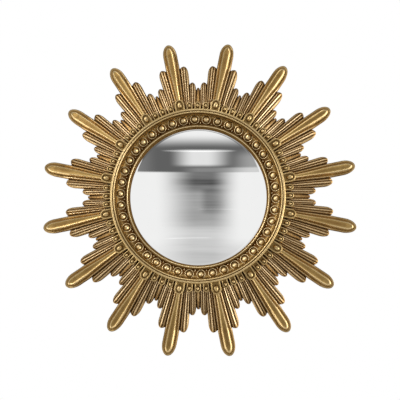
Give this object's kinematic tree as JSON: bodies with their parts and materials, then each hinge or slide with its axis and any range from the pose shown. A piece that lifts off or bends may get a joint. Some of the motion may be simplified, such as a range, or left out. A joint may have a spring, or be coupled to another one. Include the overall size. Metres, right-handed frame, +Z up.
{
  "type": "wall mirror",
  "caption": "Round convex mirror in a gilt cast sunburst frame: stepped rays, a ring of cups, a moulded band and a beaded channel, with a keyhole hanger behind.",
  "frame": {"origin": "middle of the flat back, in the plane of the wall", "axes": "+Z up as the mirror hangs, +Y into the wall, so the mirror faces -Y, and +X to the viewer's right"},
  "size_m": [0.4904, 0.046, 0.4904],
  "materials": {
    "gilt_casting": "worn antique gold over dark brown, satin",
    "silvered_glass": "polished",
    "fibreboard": "matte",
    "zinc_steel": "satin"
  },
  "bodies": {
    "root": {"frame": "gilt_casting", "mirror_glass": "silvered_glass", "backing_board": "fibreboard", "hanger_plate": "zinc_steel", "hanger_screw_left": "zinc_steel", "hanger_screw_right": "zinc_steel"}
  },
  "joints": []
}
